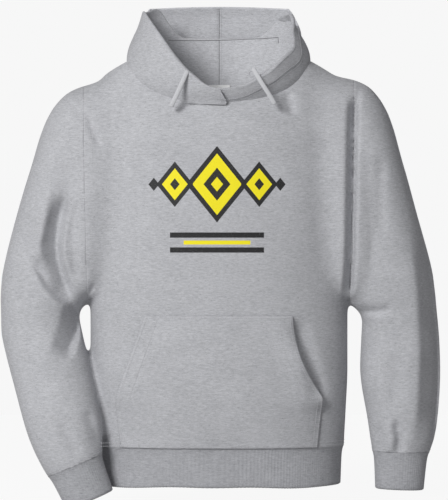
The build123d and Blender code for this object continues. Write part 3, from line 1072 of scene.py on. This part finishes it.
# Kangaroo pocket: heights and half widths at its top, its corner and the waistband.
POCKET = [(-416, 120), (-551, 170), (-631, 161)]
POCKET_TOP, POCKET_CORNER, POCKET_FOOT = [z for z, half in POCKET]
TOP_HALF, CORNER_HALF, FOOT_HALF = [half for z, half in POCKET]
POCKET_ROWS, POCKET_COLUMNS = 46, 72
POCKET_PULL = 12.0     # how far the opening on the wearer's left is drawn in
POCKET_ROOM = 3.2      # distance from the body along its seams
POCKET_SWELL = 6.0     # how much further it stands out in its middle
POCKET_GAPE = 14.0     # and at the opening that gapes
SEWN_RUN = (22.0, 0.55, 0.45)  # run of the sewn side below the corner, where across it starts, and its run
GAPE_RUN = (60.0, 0.62, 0.38)  # run of the gape below the top, where across it starts, and its run
POCKET_MIDDLE = (0, 0, -520)


def pocket_pull(z):
    """How far the wearer's left opening of the pocket is drawn in at a height."""
    return POCKET_PULL * math.sin(math.pi * falling(z, POCKET_TOP, POCKET_TOP - POCKET_CORNER))


def pocket_cloth():
    rows = []
    for z in np.linspace(POCKET_TOP, POCKET_FOOT, POCKET_ROWS):
        half = np.interp(-z, [-q[0] for q in POCKET], [q[1] for q in POCKET])
        swell = math.sin(math.pi * rising(z, POCKET_FOOT, POCKET_TOP - POCKET_FOOT)) ** 0.8
        row = []
        for u in np.linspace(-1, 1, POCKET_COLUMNS):
            x = u * (half - (u > 0) * abs(u) ** 3 * pocket_pull(z))
            hit = body_faces.ray_cast(Vector((x, -FAR, z)) * MM, Vector((0, 1, 0)))[0]
            sewn = falling(z, POCKET_CORNER, SEWN_RUN[0]) * rising(abs(u), *SEWN_RUN[1:])
            gape = rising(u, *GAPE_RUN[1:]) ** 1.5 * falling(z, POCKET_TOP, GAPE_RUN[0])
            room = POCKET_ROOM + swell * (POCKET_SWELL + POCKET_GAPE * gape) * (1 - sewn)
            row.append((x, hit.y / MM - room, z))
        rows.append(row)
    obj = new_object("kangaroo_pocket_cloth", raw_mesh("kangaroo_pocket_cloth", [grid(rows)]))
    outward(obj, POCKET_MIDDLE)
    return thickened(obj, FLEECE)


# Rib bands: rows down and points round each, its ribs, how far it draws in at once and how quickly,
# and how far it tapers.
Rib = namedtuple("Rib", "rows around ribs draw speed taper")
WAIST_RIB = Rib(16, 1320, 220, 3.2, 9, 2.0)
CUFF_RIB = Rib(14, 400, 66, 2.8, 8, 4.0)
RIB_THICK = 4.0        # of the double band
RIB_DEPTH = 0.15
RIB_INSET = 0.5        # how far the band starts inside the cloth that it is sewn to
FOLD_BULGE = 0.4       # share of the thickness by which the fold stands past the walls
WAVE = 1.6             # height of the waves in the waistband's lower edge


def drawn_in(rib, share):
    """How far a rib band lies inside the end of its cloth, at a share of its height."""
    return RIB_INSET + rib.draw * (1 - math.exp(-share * rib.speed)) + rib.taper * share


def band(name, rings, rib):
    """Rib band folded double: outside down, round the fold and up inside."""
    inside = []
    for ring in rings:
        off = ring - ring.mean(axis=0)
        inside.append(ring - off / np.linalg.norm(off, axis=1)[:, None] * RIB_THICK)
    step = rings[-1] - rings[-2]
    step = step / np.linalg.norm(step, axis=1)[:, None]
    fold = (rings[-1] + inside[-1]) / 2 + step * RIB_THICK * FOLD_BULGE
    obj = new_object(name, raw_mesh(name, [tube(rings + [fold] + inside[::-1], closed=False)]))
    marked(obj, "rib", np.tile(np.arange(rib.around) * rib.ribs / rib.around, 2 * rib.rows + 1))
    weave_attribute(obj, corners(obj.data))
    return grown(obj, RIBS, rib_knit, Depth=RIB_DEPTH * MM)


FAR = 400.0            # distance from the middle at which rays start outside the garment
hood, hem_lines = hood_collar()
crown = hood_crown()
pocket = pocket_cloth()
# Painted light: the hood and its pushed-back part get the fleece with the painted paler fill.
for piece, cloth in ((hood, fleece_with_painted_fill), (crown, fleece_with_painted_fill), (pocket, fleece)):
    weave_attribute(piece, corners(piece.data))
    dressed(piece, cloth)

hem = BODY_RINGS[1]
rings = []
for share in np.linspace(0, 1, WAIST_RIB.rows):
    tight = drawn_in(WAIST_RIB, share)
    x, y = oval(hem.half_width - tight, hem.front - tight, hem.back - tight, WAIST_RIB.around)
    z = BAND_TOP - share * BAND_HEIGHT + WAVE * share * np.sin(x / 31 + 0.6) * np.sin(x / 77)
    rings.append(np.column_stack([x, y, z]))
waistband = band("waistband_rib", rings, WAIST_RIB)


cuffs = []
for side, arms, name in ((1, LEFT_ARM, "left_cuff_rib"), (-1, RIGHT_ARM, "right_cuff_rib")):
    end, middle, down = sleeve_end(side, arms)
    rings = []
    for share in np.linspace(0, 1, CUFF_RIB.rows):
        ring = arm_ring(side, end, CUFF_RIB.around, -drawn_in(CUFF_RIB, share))
        ring = ring + down * CUFF_LENGTH * share
        rings.append(ring[::-1] if side < 0 else ring)
    cuffs.append(band(name, rings, CUFF_RIB))

# Dark tubes of painted seam shade and rows of stitches, laid on the cloth.
ROW_LIFT = 0.3         # height of a row over the cloth
graph_now = bpy.context.evaluated_depsgraph_get()
pocket_faces = BVHTree.FromObject(pocket, graph_now)
hood_faces = BVHTree.FromObject(hood, graph_now)
crown_faces = BVHTree.FromObject(crown, graph_now)


def even(points, step=4.0):
    """Points at even steps along a line through the given ones."""
    points = np.array(points, float)
    gone = np.concatenate([[0], np.cumsum(np.linalg.norm(np.diff(points, axis=0), axis=1))])
    at = np.linspace(0, gone[-1], max(2, int(gone[-1] / step) + 1))
    return np.column_stack([np.interp(at, gone, points[:, k]) for k in range(points.shape[1])])


def laid(line, skins, start_y, way, lift=ROW_LIFT):
    """Row of points on the first of the skins that rays along Y meet, from start_y onwards."""
    row = []
    for x, z in even(line):
        hits = [skin.ray_cast(Vector((x, start_y, z)) * MM, Vector((0, way, 0))) for skin in skins]
        hits = [hit[0].y / MM for hit in hits if hit[0] is not None]
        if hits:
            row.append((x, (min(hits) if way > 0 else max(hits)) - way * lift, z))
    return row


def ringed(rings, middle, skin, lift=ROW_LIFT):
    """Row of points on a skin, met by rays from a wide ring towards its middle."""
    row = []
    for point in rings:
        way = Vector(middle - point).normalized()
        hit = skin.ray_cast(Vector(point) * MM, way)[0]
        if hit is not None:
            row.append(tuple(hit / MM - way * lift))
    return row + row[:1]


def in_front(line, skin, lift=ROW_LIFT):
    return laid(line, [skin], -FAR, 1, lift)


def behind(line, skin):
    return laid(line, [skin], FAR, -1)


ARMHOLE_ROW = 5.0      # distance of the stitches from the armhole, behind
ARMHOLE_HEIGHTS = (-50, -120, -200, -290, -370)
HEM_ROWS = (4.0, 9.0)  # heights of the stitches over the waistband
WIDE = 40.0            # how far outside the hem the ring starts that is laid on it
RING_POINTS = 300
body_rows = []
for side in (1, -1):
    body_rows.append(behind([(side * (armhole_x(z) - ARMHOLE_ROW), z) for z in ARMHOLE_HEIGHTS], body_faces))
x, y = oval(hem.half_width + WIDE, hem.front + WIDE, hem.back + WIDE, RING_POINTS)
for height in HEM_ROWS:
    z = BAND_TOP + height
    ring = np.column_stack([x, y, np.full_like(x, z)])
    body_rows.append(ringed(ring, np.array([0, 0, z]), body_faces))
body_stitches = stitched("body_stitches", body_rows)

# Visible part of each sleeve's seam over the shoulder, as seen from the front.
SHOULDER_SEAMS = [
    [(376, 93), (366, 97), (357, 105)],
    [(56, 101), (70, 106), (81, 113), (88, 124), (91, 142), (92, 168)],
]
CUFF_ROW_UP = 5.0      # distance of the stitches from the cuff
CUFF_WIDE = 14.0       # how far outside the sleeve their ring starts
CUFF_POINTS = 90
sleeve_rows = []
for side, arms in ((1, LEFT_ARM), (-1, RIGHT_ARM)):
    end, middle, down = sleeve_end(side, arms)
    ring = arm_ring(side, end, CUFF_POINTS, CUFF_WIDE) - down * CUFF_ROW_UP
    sleeve_rows.append(ringed(ring, middle - down * CUFF_ROW_UP, body_faces))
for line in SHOULDER_SEAMS:
    sleeve_rows.append(in_front([seen(*q) for q in line], body_faces))
sleeve_stitches = stitched("sleeve_stitches", sleeve_rows)

# Distances of the pocket's stitches from its edges.
TOP_ROW = 4.0
SIDE_ROWS = (3.0, 9.0)
OPENING_ROWS = (4.0, 22.0)
OPENING_STEPS = 12
top_line = [(side * (TOP_HALF - TOP_ROW), POCKET_TOP - TOP_ROW) for side in (-1, 1)]
pocket_rows = [in_front(top_line, pocket_faces)]
for side in (1, -1):
    for inset in SIDE_ROWS:
        pocket_rows.append(in_front(
            [(side * (CORNER_HALF - inset), POCKET_CORNER), (side * (FOOT_HALF - inset), POCKET_FOOT + 2)],
            pocket_faces))
    for inset in OPENING_ROWS:
        line = []
        for share in np.linspace(0, 1, OPENING_STEPS):
            z = POCKET_TOP - 3 + share * (POCKET_CORNER + 7 - POCKET_TOP)
            half = TOP_HALF + share * (CORNER_HALF - TOP_HALF - 4)
            line.append((side * (half - inset - (side > 0) * pocket_pull(z)), z))
        pocket_rows.append(in_front(line, pocket_faces))
    tack = [(CORNER_HALF - OPENING_ROWS[1], POCKET_CORNER), (CORNER_HALF - 1, POCKET_CORNER + 1)]
    pocket_rows.append(in_front([(side * x, z) for x, z in tack], pocket_faces))
pocket_stitches = stitched("pocket_stitches", pocket_rows)

# Seam of the hood's halves, and the line across its back as seen from the front, with its short end, where
# dark tubes of painted shade lie; stitches run beside the centre seam.
HOOD_BACK = 90.0       # depth of the hood's back
NAPE_SHADE_LINE = [(169, 41.5), (220, 40.5), (277.7, 39.0)]
NAPE_SHADE_END = [(277.7, 39.0), (278, 45.0)]
BESIDE_SEAM = 3.5      # distance of the stitches from the centre seam
CROWN_INSIDE = 60.0    # depth at which rays start inside the pushed-back part


def centre_rows(x):
    """Rows beside the hood's middle: round the neck, up the pushed-back part and down behind it."""
    return [laid([(x, -40), (x, NAPE - 2)], [hood_faces], 0, 1),
            laid([(x, NAPE + 3), (x, 97)], [crown_faces], CROWN_INSIDE, 1),
            behind([(x, 92), (x, -120)], crown_faces)]


nape_shade_rows = [laid([seen(*q, HOOD_BACK) for q in line], [hood_faces], 0, 1)
               for line in (NAPE_SHADE_LINE, NAPE_SHADE_END)]
# Painted shade: dark tubes along the hood's centre seam and the line across its back.
hood_seam_shades = seam_shade_tubes("hood_seam_shades", centre_rows(0) + nape_shade_rows)
hood_stitches = stitched("hood_stitches", centre_rows(-BESIDE_SEAM) + centre_rows(BESIDE_SEAM) + hem_lines)

# Blank label at the back of the neck.
LABEL_WIDTH, LABEL_DROP, LABEL_TOP = 38.0, 26.0, -34.0
LABEL_THICK = 0.6
LABEL_LIFT = 1.3       # distance of its middle from the cloth behind
LABEL_CLEAR = 3.0      # distance that it keeps from the neck's back
LABEL_BEHIND = (0, 200, -30)
rows = []
for z in np.linspace(LABEL_TOP, LABEL_TOP - LABEL_DROP, 14):
    row = []
    for x in np.linspace(-LABEL_WIDTH / 2, LABEL_WIDTH / 2, 18):
        back = laid([(x, z), (x, z + 0.1)], [hood_faces, body_faces], 0, 1, LABEL_LIFT)[0][1]
        row.append((x, min(back, NECK[2] - LABEL_CLEAR), z))
    rows.append(row)
label = new_object("neck_label_cloth", raw_mesh("neck_label_cloth", [grid(rows)]))
outward(label, LABEL_BEHIND)
dressed(thickened(label, LABEL_THICK, 0), label_cloth)

# Drawcords: each route's points, from its eyelet to its loose end.
CORD_WIDTH, CORD_DEPTH = 7.5, 3.2
CORD_STEP, CORD_AROUND = 0.7, 24
CORD_END = 2.5         # length of its rounded end
CORD_TIP = 0.06        # least of its section that is left at the tip, squared
PLAIT_HEIGHT = 0.28
PLAIT_SUNK = 0.3       # how far the plait's mean lies inside the cord's width
PLAIT_STRANDS, PLAIT_TURN = 4, 1.7   # strands each way, and their turn in a millimetre
EYELET_RADIUS = 5.0
EYELET_STITCH = {"Pitch": 1.5 * MM, "Length": 2.2 * MM, "Thickness": 1.6 * MM}
EYELET_LIFT = 0.4
CORD_ROUTES = {
    "left_drawcord": [(54.6, -111.5, -16), (66, -118.5, -36), (80, -118, -58), (90.6, -114, -75)],
    "right_drawcord": [(-50.6, -111.5, -20), (-59, -118.5, -40), (-69, -118, -62), (-77.6, -114, -79)],
}


def route_line(name, points):
    """Points along the smooth spline that has the route's points as its control points."""
    curve = bpy.data.curves.new(name, "CURVE")
    curve.dimensions = "3D"
    curve.resolution_u = 24
    spline = curve.splines.new("NURBS")
    spline.points.add(len(points) - 1)
    for point, place in zip(spline.points, points):
        point.co = (*[c * MM for c in place], 1)
    spline.order_u = 3
    spline.use_endpoint_u = True
    holder = new_object(name, curve)
    mesh = bpy.data.meshes.new_from_object(
        holder.evaluated_get(bpy.context.evaluated_depsgraph_get()))
    line = corners(mesh) / MM
    bpy.data.objects.remove(holder)
    bpy.data.meshes.remove(mesh)
    return line


def cord_tube(name, line):
    """Flat braided cord along a line, its ends rounded."""
    fine = even(line, CORD_STEP)
    along = np.gradient(fine, axis=0)
    along /= np.linalg.norm(along, axis=1)[:, None]
    gone = np.arange(len(fine)) * np.linalg.norm(fine[1] - fine[0])
    t = np.arange(CORD_AROUND) / CORD_AROUND * 2 * math.pi
    rings = []
    for point, way, run in zip(fine, along, gone):
        out = np.array([0, -1.0, 0]) - way * (-way[1])
        out /= np.linalg.norm(out)
        across = np.cross(way, out)
        end = min(run, gone[-1] - run) / CORD_END
        close = math.sqrt(max(CORD_TIP, 1 - (1 - min(end, 1)) ** 2))
        twist, strands = run * PLAIT_TURN, PLAIT_STRANDS * t
        plait = np.maximum(np.sin(strands + twist), np.sin(strands - twist)) * PLAIT_HEIGHT - PLAIT_SUNK
        wide = (CORD_WIDTH / 2 + plait) * close
        deep = (CORD_DEPTH / 2 + plait) * close
        rings.append(point + np.outer(np.cos(t) * wide, across) + np.outer(np.sin(t) * deep, out))
    obj = new_object(name, raw_mesh(name, [tube(rings)]))
    bm = bmesh.new()
    bm.from_mesh(obj.data)
    bmesh.ops.recalc_face_normals(bm, faces=bm.faces)
    bm.to_mesh(obj.data)
    bm.free()
    shade(obj)
    return dressed(obj, braid)


for name, points in CORD_ROUTES.items():
    line = route_line(name + "_route", points)
    piece = cord_tube(name + "_braid", line)
    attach(piece, "root")
    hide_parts(name)
    [tuple(p * MM) for p in line]
    side = name.split("_")[0]
    x, y, z = points[0]
    ring = [(x + EYELET_RADIUS * math.cos(a), z + EYELET_RADIUS * math.sin(a))
            for a in np.linspace(0, 2 * math.pi, 25)]
    eyelet = rows_object(side + "_eyelet_thread", [in_front(ring, hood_faces, EYELET_LIFT)])
    grown(eyelet, STITCHES, sewing_thread, **EYELET_STITCH)
    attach(eyelet, "root")
    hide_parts(side + "_eyelet")

# What each sheet of cloth is: flat width and length, area of its cut, and what goes with it.
Sheet = namedtuple("Sheet", "piece nodes slot flat area held with_pieces")
SHEETS = [
    Sheet(front_body, ["front_body"], "fleece", (0.56, 0.66), 0.33, "hung", [body_stitches]),
    Sheet(back_body, ["back_body"], "fleece", (0.56, 0.66), 0.33, "hung", []),
    Sheet(left_sleeve, ["left_sleeve_front", "left_sleeve_back"], "fleece",
          (0.46, 0.60), 0.22, "hung", []),
    Sheet(right_sleeve, ["right_sleeve_front", "right_sleeve_back"], "fleece",
          (0.46, 0.62), 0.22, "hung", [sleeve_stitches]),
    Sheet(hood, ["left_hood", "right_hood"], "fleece",
          (0.9, 0.3), 0.14, "folded", [hood_stitches, hood_seam_shades]),
    Sheet(crown, ["left_hood", "right_hood"], "fleece", (0.5, 0.3), 0.1, "folded", []),
    Sheet(pocket, ["kangaroo_pocket"], "fleece", (0.36, 0.23), 0.07, "hung", [pocket_stitches]),
    Sheet(waistband, ["waistband"], "rib", (1.0, 0.13), 0.13, "stretched", []),
    Sheet(cuffs[0], ["left_cuff"], "rib", (0.26, 0.13), 0.033, "stretched", []),
    Sheet(cuffs[1], ["right_cuff"], "rib", (0.26, 0.13), 0.033, "stretched", []),
    Sheet(label, ["neck_label"], "label", (0.038, 0.026), None, "hung", []),
]
for sheet in SHEETS:
    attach(sheet.piece, "root")
    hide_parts(*sheet.nodes)

# Camera, light and backdrop, the light's place in metres.
SENSOR = 36.0
KEY_PLACE, KEY_SIZE, KEY_POWER = (-2.3, -4.4, 1.7), 1.6, 218
KEY_AIM = (0, 0, -0.32)
PALE = (0.93, 0.93, 0.93, 1)
SHADE = (0.225, 0.225, 0.23, 1)   # light from all round on the object itself
FLOOR = -745.0
FLOOR_LINES = np.linspace(-3000, 3000, 13)
FLOOR_BELOW = (0, 0, -2000)
FLOOR_GREY = (0.6, 0.6, 0.6, 1)
FLOOR_GLOW, GLOW_SHARE = 1.09, 0.9

camera_data = bpy.data.cameras.new("camera")
camera_data.sensor_width = SENSOR
camera_data.lens = SENSOR * VIEW / FRAME_HIGH
camera = new_object("camera", camera_data)
camera.location = (AIM[0] * MM, -VIEW * MM, AIM[1] * MM)
camera.rotation_euler = (math.pi / 2, 0, 0)
scene.camera = camera
scene.view_settings.view_transform = "Standard"

key_data = bpy.data.lights.new("key", "AREA")
key_data.size = KEY_SIZE
key_data.energy = KEY_POWER
key = new_object("key", key_data)
key.location = KEY_PLACE
key.rotation_euler = (Vector(KEY_AIM) - Vector(KEY_PLACE)).to_track_quat("-Z", "Y").to_euler()

world = bpy.data.worlds.new("world")
scene.world = world
world.use_nodes = True


def seen_directly(g):
    """One for what the camera, a reflection or a clear pane shows, none for light on the object."""
    rays = [g.node("ShaderNodeLightPath", out=name)
            for name in ("Is Camera Ray", "Is Glossy Ray", "Is Transmission Ray")]
    return (rays[0] + rays[1] + rays[2]).clamped()


g = Graph(world.node_tree)
g.join(g.mix(seen_directly(g), SHADE, PALE), world.node_tree.nodes["Background"], "Color")

floor = new_object("floor", raw_mesh("floor", [
    grid([[(x, y, FLOOR) for x in FLOOR_LINES] for y in FLOOR_LINES])]))
outward(floor, FLOOR_BELOW)
pale, g, skin = finish_of("pale_floor", 0.9)
skin.inputs["Base Color"].default_value = FLOOR_GREY
glow = g.node("ShaderNodeEmission", None, {"Color": PALE, "Strength": FLOOR_GLOW})
both = g.node("ShaderNodeMixShader", None,
              {0: seen_directly(g) * GLOW_SHARE, 1: Link(g, skin.outputs[0]), 2: glow})
g.join(both, pale.node_tree.nodes["Material Output"], "Surface")
dressed(floor, pale)
